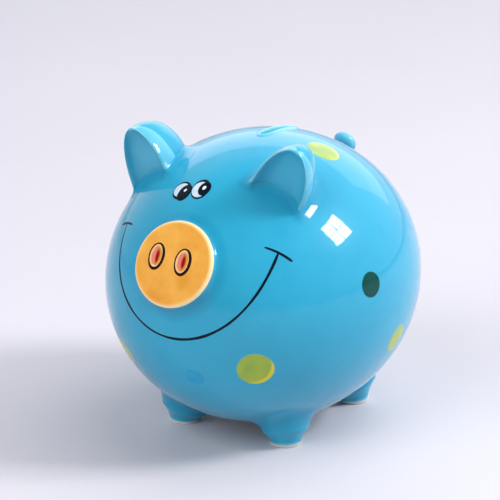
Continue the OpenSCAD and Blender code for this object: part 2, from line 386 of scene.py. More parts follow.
class Finish:
    """One material and the means to add nodes to it."""

    def __init__(self, name):
        self.material = bpy.data.materials.new(name)
        self.material.use_nodes = True
        self.tree = self.material.node_tree
        self.tree.nodes.clear()

    def node(self, kind, settings=None, inputs=None, output=0):
        """Adds a node, sets its settings, then fills its sockets with numbers or links."""
        made = self.tree.nodes.new(kind)
        for key, value in (settings or {}).items():
            setattr(made, key, value)
        for key, value in (inputs or {}).items():
            if isinstance(value, Value):
                self.tree.links.new(value.socket, made.inputs[key])
            else:
                made.inputs[key].default_value = value
        return Value(self, made.outputs[output]) if made.outputs else None

    def place(self):
        """Object coordinates, in metres."""
        return self.node("ShaderNodeTexCoord", output=3)

    def noise(self, size, detail=2.0, seed=0.0):
        """Soft noise from 0 to 1 whose features are about a size across, in metres."""
        inputs = {"Vector": self.place(), "W": seed, "Scale": 1 / size, "Detail": detail}
        return self.node("ShaderNodeTexNoise", {"noise_dimensions": "4D"}, inputs)

    def mark(self, name):
        """A value painted on the points of the mesh; 0 where the mesh has none."""
        return self.node("ShaderNodeAttribute", {"attribute_name": name}, output=2)

    def blend(self, share, first, second):
        """A colour between two colours."""
        inputs = {0: share, 6: first, 7: second}
        return self.node("ShaderNodeMix", {"data_type": "RGBA"}, inputs, output=2)

    def close(self, colour, roughness, bumps, **constants):
        """The Principled shader, with its bumps, on the material's output. bumps are pairs of
        a height value and the depth in metres that it stands for."""
        normal = None
        for height, depth in bumps:
            inputs = {"Strength": 1.0, "Distance": depth, "Height": height}
            if normal:
                inputs["Normal"] = normal
            normal = self.node("ShaderNodeBump", inputs=inputs)
        inputs = {"Base Color": colour, "Roughness": roughness}
        inputs.update({key.replace("_", " "): value for key, value in constants.items()})
        if normal:
            inputs["Normal"] = normal
        shader = self.node("ShaderNodeBsdfPrincipled", inputs=inputs)
        self.node("ShaderNodeOutputMaterial", inputs={"Surface": shader})
        return self.material


def rgba(colour):
    """A property's three numbers with full cover."""
    return (*colour, 1.0)


GLOSS = {
    "Coat_Weight": 1.0,
    "Coat_Roughness": 0.045,
    "Coat_IOR": 1.36,
    "Specular_IOR_Level": 0.06,
}


def gloss_bumps(finish):
    """The faint orange-peel and the rare pinhole of a fired gloss."""
    peel = finish.noise(0.006, 1.0, 3.0)
    pinhole = finish.noise(0.0016, 0.0, 8.0).between(0.84, 0.90)
    return [(peel, 0.000020), (1 - pinhole, 0.00004)]


def blue_glaze(colours):
    """Blue glaze: deeper where it pools and in soft clouds, pale where the glaze runs thinly on
    edges and where a painted reflection pales the tail and the ears' cups, and bare clay
    where the foot was wiped."""
    finish = Finish("blue_glaze")
    cloud = finish.noise(0.045, 2.0, 1.0).between(0.30, 0.72)
    mottle = finish.noise(0.007, 3.0, 2.0).between(0.35, 0.75)
    pool = finish.mark("pool")
    thin = finish.mark("thin")
    bare = finish.mark("bare")
    share = (cloud * 0.22 + mottle * 0.10 + pool * 0.55).between(0.0, 1.0)
    colour = finish.blend(share, rgba(colours.blue), rgba(colours.deep))
    # Pale colour where the glaze runs thinly on rims, and painted reflection where the tail and the
    # ears' cups are paled.
    colour = finish.blend(thin * (0.65 + mottle * 0.35), colour, rgba(colours.thin))
    colour = finish.blend(bare, colour, rgba(colours.bisque))
    roughness = 0.32 + mottle * 0.08 + bare * 0.45
    coat = 1 - bare
    gloss = dict(GLOSS, Coat_Weight=coat)
    grain = finish.noise(0.0006, 2.0, 5.0) * bare
    return finish.close(colour, roughness, gloss_bumps(finish) + [(grain, 0.00008)], **gloss)


def orange_glaze(colours):
    """Orange glaze: amber clouds in the middle and cream where it breaks over the rim."""
    finish = Finish("orange_glaze")
    cloud = finish.noise(0.012, 3.0, 1.0).between(0.30, 0.70)
    brush = finish.noise(0.004, 2.0, 2.0).between(0.30, 0.75)
    colour = finish.blend(cloud * 0.8 + brush * 0.2, rgba(colours.orange), rgba(colours.amber))
    thin = finish.mark("thin")
    colour = finish.blend(thin * (0.8 + brush * 0.2), colour, rgba(colours.cream))
    return finish.close(colour, 0.34 + brush * 0.08, gloss_bumps(finish), **GLOSS)


def enamel(name, colour, other, size, lean=0.5, ground=None, coat=1.0, fresh=None):
    """A fired-on colour that varies towards another, with the ground's colour showing at its
    very edge, under more or less of the clear gloss. A fresh dab is a stronger colour on top."""
    finish = Finish(name)
    drift = finish.noise(size, 3.0, 4.0).between(0.30, 0.75)
    paint = finish.blend(drift * lean, rgba(colour), rgba(other))
    if fresh is not None:
        paint = finish.blend(finish.mark("fresh"), paint, rgba(fresh))
    if ground is not None:
        rim = finish.mark("edge").between(0.88, 1.0)
        paint = finish.blend(rim * 0.8, paint, rgba(ground))
    gloss = dict(GLOSS, Coat_Weight=coat)
    return finish.close(paint, 0.34 + drift * 0.08, gloss_bumps(finish), **gloss)


def nostril_glaze(colours):
    """Dark red glaze pooled in the middle of the nostril, pink on one side of it and orange on
    the other, with cream at the very edge."""
    finish = Finish("red_glaze")
    drift = finish.noise(0.002, 2.0, 6.0).between(0.3, 0.7)
    edge = finish.mark("edge") + drift * 0.12
    colour = finish.blend(finish.mark("side"), rgba(colours.amber), rgba(colours.pink))
    colour = finish.blend(finish.mark("slit"), colour, rgba(colours.red))
    colour = finish.blend(edge.between(0.88, 1.02), colour, rgba(colours.cream))
    return finish.close(colour, 0.34, gloss_bumps(finish), **GLOSS)


def soft_rubber(colours):
    """Satin soft rubber with a fine moulded grain and a slight yellowing in patches."""
    finish = Finish("soft_rubber")
    aged = finish.noise(0.012, 3.0, 1.0).between(0.35, 0.8)
    grain = finish.noise(0.0005, 2.0, 2.0)
    worn = tuple(c * f for c, f in zip(colours.rubber, (0.90, 0.86, 0.74)))
    colour = finish.blend(aged * 0.6, rgba(colours.rubber), (*worn, 1.0))
    return finish.close(colour, 0.48 + grain * 0.14, [(grain, 0.00003)], Specular_IOR_Level=0.45)


# ---------------------------------------------------------------- pieces


def settle(made, material, body, slot, *nodes):
    """Gives a piece its finish and its body, and hides the frame nodes that it stands for. The slot
    is not used.
    """
    made.data.materials.append(material)
    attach(made, body)
    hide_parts(*nodes)
    return made


FINISHES = {}


def finish_of(name, make):
    """The finish of that name, mixed the first time that it's asked for."""
    if name not in FINISHES:
        FINISHES[name] = make(bpy.context.scene.pig_colours)
    return FINISHES[name]


class Casting:
    """The body as one closed skin of rings round the coin slot: over the outside, in through the
    belly's hole, up the inside of the wall and out through the slot."""

    columns = 352
    lip_width = 0.0021
    lip_rounding = 0.0006
    round_from = 1.1  # polar angle past which no ring keeps the slot's shape
    belly_from, belly_to = 1.6, 2.5  # polar angles between which rings turn true circles

    def __init__(self, sizes):
        self.sizes = sizes
        self.shell = Shell(sizes)
        self.turn = round_turn(self.columns)
        self.circle = np.stack(
            [np.cos(self.turn), np.sin(self.turn), np.zeros(self.columns)], -1
        )
        self.centre = self.shell.middle * np.array([1, 1, 0])
        self.slot_line = (sizes.slot_length - sizes.slot_width) / 2 / self.shell.half[1]
        self.slot_edge = sizes.slot_width / 2 / self.shell.half[0]

    def ways(self, away):
        """Directions of rings round the slot. Near it a ring is a stadium at a distance from
        the slot's line; further off the line shrinks and the ring becomes a circle of constant
        polar angle, and over the belly a true circle seen from below."""
        half, turn = self.shell.half, self.turn
        away = away[:, None]
        far = ease(away, self.slot_edge, self.round_from)
        stretch = np.abs(np.sin(turn)) ** (1 - 0.75 * (1 - far)) * np.sign(np.sin(turn))
        slide = self.slot_line * (1 - far) * stretch
        back = self.sizes.slot_back / half[1] * (1 - far)
        p = away * np.cos(turn)
        q = back + slide + away * np.sin(turn)
        polar, around = np.hypot(p, q), np.arctan2(q, p)
        even = ease(away, self.belly_from, self.belly_to) * np.log(half[1] / half[0]) / 2
        x = np.sin(polar) * np.cos(around) * np.exp(even)
        y = np.sin(polar) * np.sin(around) * np.exp(-even)
        z = np.where(
            polar < np.pi / 2, np.cos(polar), -np.sqrt(np.maximum(1 - x * x - y * y, 0))
        )
        return unit(np.stack([x, y, z], -1))

    def outside(self):
        """Rings from the slot to the belly, raised in a soft lip round the slot that rounds
        over into it. Also gives how thin the glaze runs on the lip."""
        half, edge = self.shell.half, self.slot_edge
        lip_width = self.lip_width / half[0]
        pocket = self.sizes.pocket_radius / np.sqrt(half[0] * half[1])
        belly = np.pi - np.arcsin(pocket)
        away = edge + (belly - edge) * np.linspace(0, 1, 176) ** 1.35
        lip = self.sizes.slot_lip * (1 - ease(away, edge + 0.15 * lip_width, edge + lip_width))
        near = np.clip(1 - (away - edge) / (self.lip_rounding / half[0]), 0, 1)
        lip = lip - self.lip_rounding * (1 - np.sqrt(1 - near**2))
        ways = self.ways(away)
        rings = self.shell.point(ways, np.broadcast_to(lip[:, None], ways.shape[:2]))
        return rings, ease(away, edge + 1.2 * lip_width, edge)

    def pocket(self, brim):
        """Rings down from the brim of the belly's pocket and inward over its flat seat."""
        seat, pocket = self.sizes.seat_height, self.sizes.pocket_radius
        drops = np.array([0.15, 0.5, 0.9, 1.0])[:, None, None]
        wall = self.centre + self.circle * (pocket - 0.0002) + UP * seat
        inward = pocket - self.sizes.hole_radius - 0.0003
        across = np.linspace(0.0005, inward, 4)[:, None, None]
        floor = self.centre + self.circle * (pocket - across) + UP * (seat + 0.0001)
        return brim + (wall - brim) * drops, floor

    def inside(self):
        """Rings up through the belly's hole and over the inner face of the wall."""
        hole = self.sizes.hole_radius
        inner = Shell(self.sizes)
        inner.half = self.shell.half - self.sizes.wall
        inner.swell_height = 0.0
        from_hole = np.pi - np.arcsin(hole / inner.half[:2].mean())
        rings = inner.point(self.ways(np.linspace(from_hole, self.slot_edge, 54)))
        climb = np.linspace(0, 1, 4)[:, None, None]
        lip = self.centre + self.circle * hole + UP * (self.sizes.seat_height + 0.0003)
        low = self.centre + self.circle * hole + UP * rings[0][:, 2:]
        return lip + (low - lip) * climb, rings[1:]

    def throat(self):
        """Rings up the slot's own walls, from the inner face to just under the lip."""
        depths = np.array([[-0.0030], [-0.0022], [-0.0015]]) * np.ones(self.columns)
        return self.shell.point(self.ways(np.full(3, self.slot_edge)), depths)


class PIG_OT_body(Operator):
    """Casts the hollow body, with its coin slot and the seat for its stopper"""

    bl_idname = "pig.body"
    bl_label = "Body"

    def execute(self, context):
        casting = Casting(context.scene.pig_sizes)
        outside, worn = casting.outside()
        grid = np.concatenate(
            [outside, *casting.pocket(outside[-1]), *casting.inside(), casting.throat()]
        )
        thin = np.append(worn, np.zeros(len(grid) - len(worn)))
        made = piece("Body", [part(grid, ring=True, marks={"thin": thin[:, None]})])
        settle(made, finish_of("blue_glaze", blue_glaze), "pig", "blue_glaze", "body_shell")
        return {"FINISHED"}


class SnoutFace:
    """The snout's face: a shallow dome in its own tilted frame, dished at the nostrils."""

    dome = 0.0010
    edge = 0.0014
    nostrils = ((-0.0078, 0.0017), (0.0045, 0.0013))
    half = (0.0030, 0.0048)
    dish = 0.0007

    def __init__(self, shell, sizes):
        tilt = sizes.snout_tilt
        self.radius = sizes.snout_radius
        self.out = np.array([0.0, -np.cos(tilt), np.sin(tilt)])
        self.up = np.array([0.0, np.sin(tilt), np.cos(tilt)])
        self.middle = shell.middle + np.array(
            [sizes.snout_side, -sizes.snout_fore, sizes.snout_up]
        )

    def height(self, flat):
        """The dome, less the rounding at its edge and a smooth dish in each nostril."""
        away = np.hypot(flat[..., 0], flat[..., 1])
        near = np.clip((away - (self.radius - self.edge)) / self.edge, 0, 1)
        high = self.dome * (1 - (away / self.radius) ** 2)
        high = high - self.edge * (1 - np.sqrt(1 - near**2))
        for x, y in self.nostrils:
            off = np.hypot((flat[..., 0] - x) / self.half[0], (flat[..., 1] - y) / self.half[1])
            high = high - self.dish * (1 - ease(off, 0.35, 1.15))
        return high

    def ground(self, flat, lift):
        """Points over a flat drawing on the face, raised along the way it looks."""
        high = self.height(flat) + lift - self.dome
        return (
            self.middle + flat[..., :1] * ACROSS + flat[..., 1:] * self.up
            + high[..., None] * self.out
        )


class PIG_OT_snout(Operator):
    """Models the orange face of the snout, its blue collar and the painted nostrils"""

    bl_idname = "pig.snout"
    bl_label = "Snout"

    collar_reach = 0.0052
    ring_half_width = 0.00048
    ring_gap = 0.0003  # from a nostril's edge out to the line of its painted ring
    blot = (0.0027, 0.0045)

    def execute(self, context):
        sizes = context.scene.pig_sizes
        shell = Shell(sizes)
        face = SnoutFace(shell, sizes)
        turn = round_turn(256)
        circle = np.stack([np.cos(turn), np.sin(turn)], -1)
        inside = np.linspace(0.02, 1, 110) * (face.radius - face.edge)
        over = face.radius - face.edge * (1 - np.sin(np.linspace(0, 1, 12)[1:] * np.pi / 2))
        radii = np.concatenate([inside, over])
        flat = circle * radii[:, None, None]
        top = face.ground(flat, np.zeros(flat.shape[:2]))
        backs = np.array([0.0002, 0.0004, 0.0005, 0.0030])
        narrow = np.array([0.997, 0.985, 0.965, 0.94])
        spread = circle[:, :1] * ACROSS + circle[:, 1:] * face.up
        skirt = (top[-1] - backs[:, None, None] * face.out
                 + (narrow[:, None, None] - 1) * spread * face.radius)
        grid = np.concatenate([top, skirt])
        rim = ease(np.append(radii, np.full(len(backs), face.radius)) / face.radius, 0.90, 1.0)
        halo = np.zeros(grid.shape[:2])
        for x, y in face.nostrils:
            off = np.hypot((flat[..., 0] - x) / face.half[0], (flat[..., 1] - y) / face.half[1])
            halo[: len(radii)] += 0.45 * (1 - ease(np.abs(off - 0.9), 0.1, 0.3))
        thin = np.clip(rim[:, None] + halo, 0, 1)
        poles = face.ground(np.zeros((2, 2)), np.array([0.0, -0.006]))
        made = piece("Snout_face", [part(grid, poles[0], poles[1], marks={"thin": thin})])
        settle(made, finish_of("orange_glaze", orange_glaze), "pig", "orange_glaze", "snout")

        shoulder = face.middle - face.out * (face.edge + 0.0012)
        steps = ((0.80, 0.0), (0.955, 0.0), (0.980, 0.00012), (0.992, 0.0004), (0.995, 0.0009))
        rings = np.array([shoulder + spread * face.radius * r - face.out * z for r, z in steps])
        fillet, pole = luting(shell, rings[-1], -face.out, self.collar_reach, rows=26,
                              grip=0.66)
        grid = np.concatenate([rings, fillet])
        pool = np.zeros(len(grid))
        pool[len(rings) - 1 : -1] = np.sin(np.linspace(0, 1, len(fillet)) * np.pi) * 0.6
        made = piece("Snout_collar",
                     [part(grid, shoulder, pole, marks={"pool": pool[:, None]})])
        settle(made, finish_of("blue_glaze", blue_glaze), "pig", "blue_glaze", "snout")

        rings, reds = [], []
        for spot, middle in enumerate(face.nostrils):
            half = (face.half[0] + self.ring_gap, face.half[1] + self.ring_gap)
            path = oval(middle, half, count=96)
            heavy = 1 + 0.45 * np.cos(round_turn(96) + 0.5) + 0.08 * np.sin(3 * round_turn(96))
            rings.append(stroke(face.ground, path, self.ring_half_width * heavy, LINE_RISE,
                                closed=True))
            blot = oval(middle, self.blot, wobble=0.03, seed=spot)
            found = lens(face.ground, blot, FIRST_COAT, rows=16)
            side = (found[0] @ ACROSS - middle[0] - face.middle[0]) / self.blot[0]
            found[3]["side"] = ease(-side, -0.2, 0.5) * 0.9
            high = ((found[0] - face.middle) @ face.up - middle[1]) / self.blot[1]
            found[3]["slit"] = 1 - ease(np.hypot((side - 0.05) / 0.45, high / 0.85), 0.45, 1.0)
            reds.append(found)
        brown = finish_of("brown_enamel", lambda c: enamel(
            "brown_enamel", c.brown, c.ink, 0.002, 0.6, coat=0.5))
        settle(piece("Nostril_rings", rings), brown, "pig", "brown_enamel", "nostril_rings")
        settle(piece("Nostril_reds", reds), finish_of("red_glaze", nostril_glaze), "pig",
               "red_glaze", "nostril_reds")
        return {"FINISHED"}


class PIG_OT_ears(Operator):
    """Pinches the two cupped ears and lutes them to the body"""

    bl_idname = "pig.ears"
    bl_label = "Ears"

    # Root and tip from the body's middle, then half sizes seen from the front and the side.
    places = {
        "left": {"root": (0.0240, -0.0335, 0.0435), "tip": (0.0384, -0.0382, 0.0687),
                 "half_width": 0.0116, "root_deep": 0.0190, "tip_deep": 0.0110},
        "right": {"root": (0.0342, -0.0300, 0.0398), "tip": (0.0421, -0.0338, 0.0646),
                  "half_width": 0.0108, "root_deep": 0.0225, "tip_deep": 0.0150},
    }
    rim_width = 0.0014
    bowl_depth = 0.0048
    shoal = 0.0014  # how much shallower the bowl is at the tip
    reach_behind = 0.0066
    reach_loss = 0.0042  # how much shorter the fillet runs in front

    def execute(self, context):
        sizes = context.scene.pig_sizes
        shell = Shell(sizes)
        for name, flip in (("left", 1.0), ("right", -1.0)):
            grid, crown, pole, marks = self.ear(shell, sizes, **self.places[name])
            mirror = np.array([flip, 1.0, 1.0])
            made = piece("Ear_" + name,
                         [part(grid * mirror, crown * mirror, pole * mirror, marks=marks)])
            settle(made, finish_of("blue_glaze", blue_glaze), "pig", "blue_glaze", "ear_" + name)
        return {"FINISHED"}

    def ear(self, shell, sizes, root, tip, half_width, root_deep, tip_deep):
        """Rings up the ear. From the front its half width is a power of the cosine of its
        height, a leaf, and its front is a quartic bowl inside a thin rim. Its back is half an
        ellipse, deep at the root and thinner at the tip. Each column starts at the wall."""
        root, tip = np.array(root), np.array(tip)
        axis = unit(tip - root)
        ahead = np.array([np.sin(sizes.ear_yaw), -np.cos(sizes.ear_yaw), 0.0])
        ahead = unit(ahead - axis * (ahead @ axis))
        side = np.cross(axis, ahead)
        base = shell.middle + root

        tall = np.linalg.norm(tip - root)
        climb = np.linspace(0, np.pi / 2 * 0.988, 76)
        share = np.sin(climb)
        wide = half_width * np.cos(climb) ** 1.14
        deep = (root_deep + (tip_deep - root_deep) * share) * np.sqrt(1 - share**6)
        rim = self.rim_width * np.sqrt(1 - share**12)
        bowl = (self.bowl_depth - self.shoal * share) * (1 - np.clip(share / 0.96, 0, 1) ** 5)

        turn = round_turn(160)
        x, lift = np.cos(turn), np.sin(turn)
        over = np.abs(x)
        hollow = bowl[:, None] * (1 - np.clip(over / 0.94, 0, 1) ** 4)
        before = hollow - rim[:, None] * np.sqrt(1 - over**8)
        uneven = 1 + 0.025 * np.sin(3 * turn + 5 * share[:, None])
        behind = deep[:, None] * np.abs(lift) ** 0.9 * uneven
        back = np.where(lift >= 0, behind, before)
        across = (wide[:, None] * x)[..., None] * side
        flat = base + across - back[..., None] * ahead
        under = shell.point(shell.drop(flat[0], -axis))
        foot = (under - flat[0]) @ axis + 0.0026
        high = tall * share[:, None] + foot * (1 - share[:, None])
        walls = flat + high[..., None] * axis
        front = ease(-lift, -0.2, 0.6)
        reach = self.reach_behind - self.reach_loss * front
        fillet, pole = luting(shell, walls[0], -axis, reach, rows=20)
        grid = np.concatenate([walls[::-1], fillet])
        crown = walls[-1].mean(0)

        crest = np.exp(-(((over - 0.95) / 0.06) ** 2)) * (lift < 0.3)
        top_crest = np.exp(-(((share - 0.985) / 0.02) ** 2))[:, None] * (lift < 0.5)
        cup = (1 - over**4) * (lift < 0) * (1 - share[:, None] ** 8)
        thin = np.zeros(grid.shape[:2])
        # Painted reflection: 0.22 of the cup pales the bowl of the ear, standing for the pale room
        # that it reflects.
        thin[: len(walls)] = np.clip(crest * 0.7 + top_crest * 0.7 + cup * 0.22, 0, 1)[::-1]
        pool = np.zeros(grid.shape[:2])
        pool[len(walls) - 6 : -1] = (
            np.sin(np.linspace(0, 1, len(fillet) + 5) * np.pi)[:, None] * 0.55
        )
        return grid, crown, pole, {"thin": thin, "pool": pool}


class PIG_OT_feet(Operator):
    """Presses four stub feet under the belly, their soles wiped bare"""

    bl_idname = "pig.feet"
    bl_label = "Feet"

    sole_round = 0.0009
    flare = 0.0032
    rise = 0.52  # how much of the way up to the belly is leg, before the fillet
    reach_under = 0.0078
    reach_loss = 0.0036  # how much shorter the fillet runs on the outer side

    def execute(self, context):
        sizes = context.scene.pig_sizes
        shell = Shell(sizes)
        blue = finish_of("blue_glaze", blue_glaze)
        turn = round_turn(112)
        spread = np.stack([np.cos(turn), np.sin(turn), np.zeros(len(turn))], -1)
        r = sizes.foot_radius
        corner = np.linspace(0, np.pi / 2, 7)
        edge = self.sole_round
        sole_r = np.concatenate([[r * 0.35, r * 0.75], r - edge + edge * np.sin(corner)])
        sole_z = np.concatenate([[0, 0], edge * (1 - np.cos(corner))])
        wall = np.linspace(0, 1, 16)[1:]
        for name, along in (("front", -sizes.foot_fore), ("rear", sizes.foot_aft)):
            for hand, flip in (("left", 1), ("right", -1)):
                centre = np.array([flip * sizes.foot_side, shell.middle[1] + along, 0.0])
                reach_r = r + self.flare
                above = shell.point(shell.drop(centre + spread * reach_r, UP))[:, 2]
                top = above * self.rise
                rings = [centre + spread * a + UP * b for a, b in zip(sole_r, sole_z)]
                for w in wall:
                    out = r + (reach_r - r) * w**1.6
                    high = edge + (top - edge) * w
                    rings.append(centre + spread * out + UP * high[:, None])
                rings = np.array(rings)
                outward = unit((centre - shell.middle) * np.array([1, 1, 0]))
                outer = np.clip(spread @ outward, 0, 1)
                reach = self.reach_under - self.reach_loss * outer
                fillet, pole = luting(shell, rings[-1], UP, reach, rows=18)
                grid = np.concatenate([rings, fillet])
                bare = np.zeros(len(grid))
                bare[: len(sole_r) + 1] = [1, 1, 1, 1, 1, 1, 1, 0.95, 0.8, 0.3]
                thin = np.zeros(len(grid))
                thin[len(sole_r) : len(sole_r) + 3] = [0.5, 0.3, 0.1]
                pool = np.zeros(len(grid))
                arch = np.sin(np.linspace(0, 1, len(fillet) + 2) * np.pi)
                pool[len(rings) - 3 : -1] = arch * 0.5
                marks = {"bare": bare[:, None], "thin": thin[:, None], "pool": pool[:, None]}
                made = piece(f"Foot_{name}_{hand}", [part(grid, centre, pole, marks=marks)])
                settle(made, blue, "pig", "blue_glaze", f"foot_{name}_{hand}")
        return {"FINISHED"}


class PIG_OT_tail(Operator):
    """Rolls the tail and curls it against the rump"""

    bl_idname = "pig.tail"
    bl_label = "Tail"

    lift = 31  # degrees above the horizontal at which it leaves the rump
    stands_out = 0.0760
    starts_in = 0.0110
    leans_out = 0.0012
    buried = 6  # rings of the rope that are inside the fillet
    fillet_reach = 0.0030

    def execute(self, context):
        """The rope's middle line circles the way out of the rump while it moves outward; its
        radius shrinks along it and rounds off at the tip."""
        sizes = context.scene.pig_sizes
        shell = Shell(sizes)
        lift = np.radians(self.lift)
        out = np.array([0.0, np.cos(lift), np.sin(lift)])
        rise = np.array([0.0, -np.sin(lift), np.cos(lift)])
        t = np.linspace(0, 1, 120)
        swing = np.radians(-90) + np.radians(300) * ease(t, 0.10, 1.25) / ease(1.0, 0.10, 1.25)
        away = self.stands_out - self.starts_in * (1 - ease(t, -0.35, 0.42)) + self.leans_out * t
        curl = sizes.tail_curl * (1 - 0.18 * t)
        path = (
            shell.middle + away[:, None] * out
            + (curl * np.cos(swing))[:, None] * ACROSS + (curl * np.sin(swing))[:, None] * rise
        )
        way = unit(np.gradient(path, axis=0))
        first = unit(np.cross(way, unit(shell.middle + out * 0.2 - path)))
        second = np.cross(way, first)
        turn = round_turn(40)
        near_tip = np.clip((t - 0.93) / 0.0705, 0, 1)
        thick = sizes.tail_radius * (1 - 0.30 * t) * np.sqrt(1 - near_tip**2)
        grid = (
            path[:, None] + thick[:, None, None] * (
                first[:, None] * np.cos(turn)[None, :, None]
                + second[:, None] * np.sin(turn)[None, :, None])
        )
        fillet, pole = luting(shell, grid[self.buried], -out, self.fillet_reach, rows=12)
        body = np.concatenate([grid[self.buried :][::-1], fillet])
        # Painted reflection: the whole tail is paled towards the pale glaze colour, fading out over
        # its fillet, to stand for the bright room that it reflects.
        thin = np.full(len(body), 0.55)
        thin[-len(fillet) :] = np.linspace(0.4, 0, len(fillet))
        pool = np.zeros(len(body))
        arch = np.sin(np.linspace(0, 1, len(fillet) + 3) * np.pi)
        pool[-len(fillet) - 4 : -1] = arch * 0.5
        marks = {"thin": thin[:, None], "pool": pool[:, None]}
        made = piece("Tail", [part(body, path[-1], pole, marks=marks)])
        settle(made, finish_of("blue_glaze", blue_glaze), "pig", "blue_glaze", "tail")
        return {"FINISHED"}


class PIG_OT_face(Operator):
    """Draws the smile and the eyes in ink and white"""

    bl_idname = "pig.face"
    bl_label = "Eyes and smile"

    smile_radius = 0.0354
    smile_height = 0.0915
    tick_height = 0.0905
    tick_bow = 0.0006
    # Ovals across and up, with their half sizes and their tilt in degrees.
    eyes = (
        ((-0.01170, 0.10780), (0.00440, 0.00275), 12.0),
        ((-0.00335, 0.10950), (0.00428, 0.00297), -1.0),
    )
    whites = (
        ((-0.01212, 0.10790), (0.00370, 0.00208), 14.0),
        ((-0.00350, 0.10940), (0.00380, 0.00240), 1.0),
    )
    pupils = (
        ((-0.00985, 0.10750), (0.00325, 0.00245), 28.0),
        ((-0.00170, 0.10985), (0.00280, 0.00212), -2.0),
    )
    glints = (
        ((-0.00988, 0.10820), (0.00072, 0.00042), 30.0),
        ((-0.00195, 0.11011), (0.00085, 0.00062), 10.0),
    )

    def execute(self, context):
        sizes = context.scene.pig_sizes
        shell = Shell(sizes)
        ink = finish_of("ink_enamel", lambda c: enamel(
            "ink_enamel", c.ink, c.cobalt, 0.003, 0.04, coat=0.35))
        white = finish_of("white_enamel", lambda c: enamel(
            "white_enamel", c.white, c.glint, 0.002))
        bright = finish_of("glint_enamel", lambda c: enamel(
            "glint_enamel", c.glint, c.white, 0.003))
        smile = self.smile(shell, sizes.line_width / 2)
        outlines = (self.coat(shell, self.eyes, FIRST_COAT)
                    + self.coat(shell, self.pupils, THIRD_COAT))
        whites = self.coat(shell, self.whites, SECOND_COAT)
        glints = self.coat(shell, self.glints, LAST_COAT)
        settle(piece("Smile", smile), ink, "pig", "ink_enamel", "smile_line")
        settle(piece("Eye_outlines", outlines), ink, "pig", "ink_enamel", "eye_outlines")
        settle(piece("Eye_whites", whites), white, "pig", "white_enamel", "eye_whites")
        settle(piece("Eye_glints", glints), bright, "pig", "white_enamel", "eye_glints")
        return {"FINISHED"}

    def coat(self, shell, ovals, height):
        """One lens of enamel for each oval, all at the same height above the body."""
        return [lens(shell.front, oval(*found, wobble=0.012, seed=i), height)
                for i, found in enumerate(ovals)]

    def smile(self, shell, half):
        """The lower half of a circle in a line of uneven width, and a short bowed tick across
        each of its ends, steeper and longer on the pig's left."""
        radius = self.smile_radius
        swing = np.linspace(-1, 1, 260) * np.pi / 2
        arc = np.stack([radius * np.sin(swing), self.smile_height - radius * np.cos(swing)], -1)
        ends = np.sqrt(1 - np.linspace(-1, 1, 260) ** 40)
        waver = 1 + 0.14 * np.sin(swing * 5.3) + 0.08 * np.sin(swing * 17 + 1)
        lines = [stroke(shell.front, arc, half * waver * ends, LINE_RISE)]
        run = np.linspace(-1, 1, 40)
        for flip in (-1, 1):
            slope = np.radians(24.5 + 4.5 * flip)
            along = run * (0.0052 + 0.0006 * flip)
            bow = self.tick_bow * (1 - run**2)
            tick = np.stack([
                flip * (radius + along * np.cos(slope) + bow * np.sin(slope)),
                self.tick_height - along * np.sin(slope) + bow * np.cos(slope),
            ], -1)
            taper = np.sqrt(1 - run**8) * (1 + 0.15 * run)
            lines.append(stroke(shell.front, tick, half * taper, LINE_RISE))
        return lines


# Each spot's turn from the nose and lift in degrees, and its radius in millimetres.
SPOTS = {
    "yellow": [(28.4, -14.5, 8.0), (94.7, -17, 6.5), (105, 65.5, 7.5), (-31, -20, 6.6),
               (-84, 22, 7.5), (157, 8, 8.0), (-138, -26, 6.5)],
    "green": [(74.3, 10.3, 5.5), (-62, -8, 5.6), (-160, 44, 6.0), (138, -34, 5.5)],
    "blue": [(6.4, -19.2, 4.4), (120, 22, 6.0), (-117, 2, 5.5)],
}


class PIG_OT_spots(Operator):
    """Dabs the round yellow, green and blue spots over the body"""

    bl_idname = "pig.spots"
    bl_label = "Spots"

    def execute(self, context):
        shell = Shell(context.scene.pig_sizes)
        paints = {
            "yellow": ("yellow_enamel",
                       lambda c: enamel("yellow_enamel", c.yellow, c.lime, 0.006, 1.0,
                                        c.blue, fresh=c.lemon)),
            "green": ("green_enamel",
                      lambda c: enamel("green_enamel", c.green, c.deep, 0.006, 0.15, c.deep,
                                       coat=0.4)),
            "blue": ("deep_blue_enamel",
                     lambda c: enamel("deep_blue_enamel", c.cobalt, c.blue, 0.006, 0.6, c.blue)),
        }
        for name, found in SPOTS.items():
            parts = []
            for seed, (turn, lift, radius) in enumerate(found):
                parts.append(self.dab(shell, np.radians(turn - 90), np.radians(lift),
                                      radius * MM, seed))
            slot, make = paints[name]
            made = piece("Spots_" + name, parts)
            settle(made, finish_of(slot, make), "pig", slot, "spots_" + name)
        return {"FINISHED"}

    def dab(self, shell, turn, lift, radius, seed):
        """A round lens seen along the line to the body's middle, turned from the nose and
        lifted above the horizontal."""
        out = np.array([np.cos(turn) * np.cos(lift), np.sin(turn) * np.cos(lift), np.sin(lift)])
        over = unit(np.cross(UP, out))
        up = np.cross(out, over)

        def ground(flat, rise):
            points = shell.middle + flat[..., :1] * over + flat[..., 1:] * up
            return shell.point(shell.drop(points, -out), rise)

        outline = oval((0, 0), (radius, radius), count=96, wobble=0.02, seed=seed)
        found = lens(ground, outline, FIRST_COAT, rows=18)
        away = (found[0] - shell.middle) / radius
        shift = np.hypot(away @ over + 0.30, away @ up - 0.26)
        found[3]["fresh"] = ease(shift, 1.04, 1.16) * (1.0 if seed == 0 else 0.35)
        return found


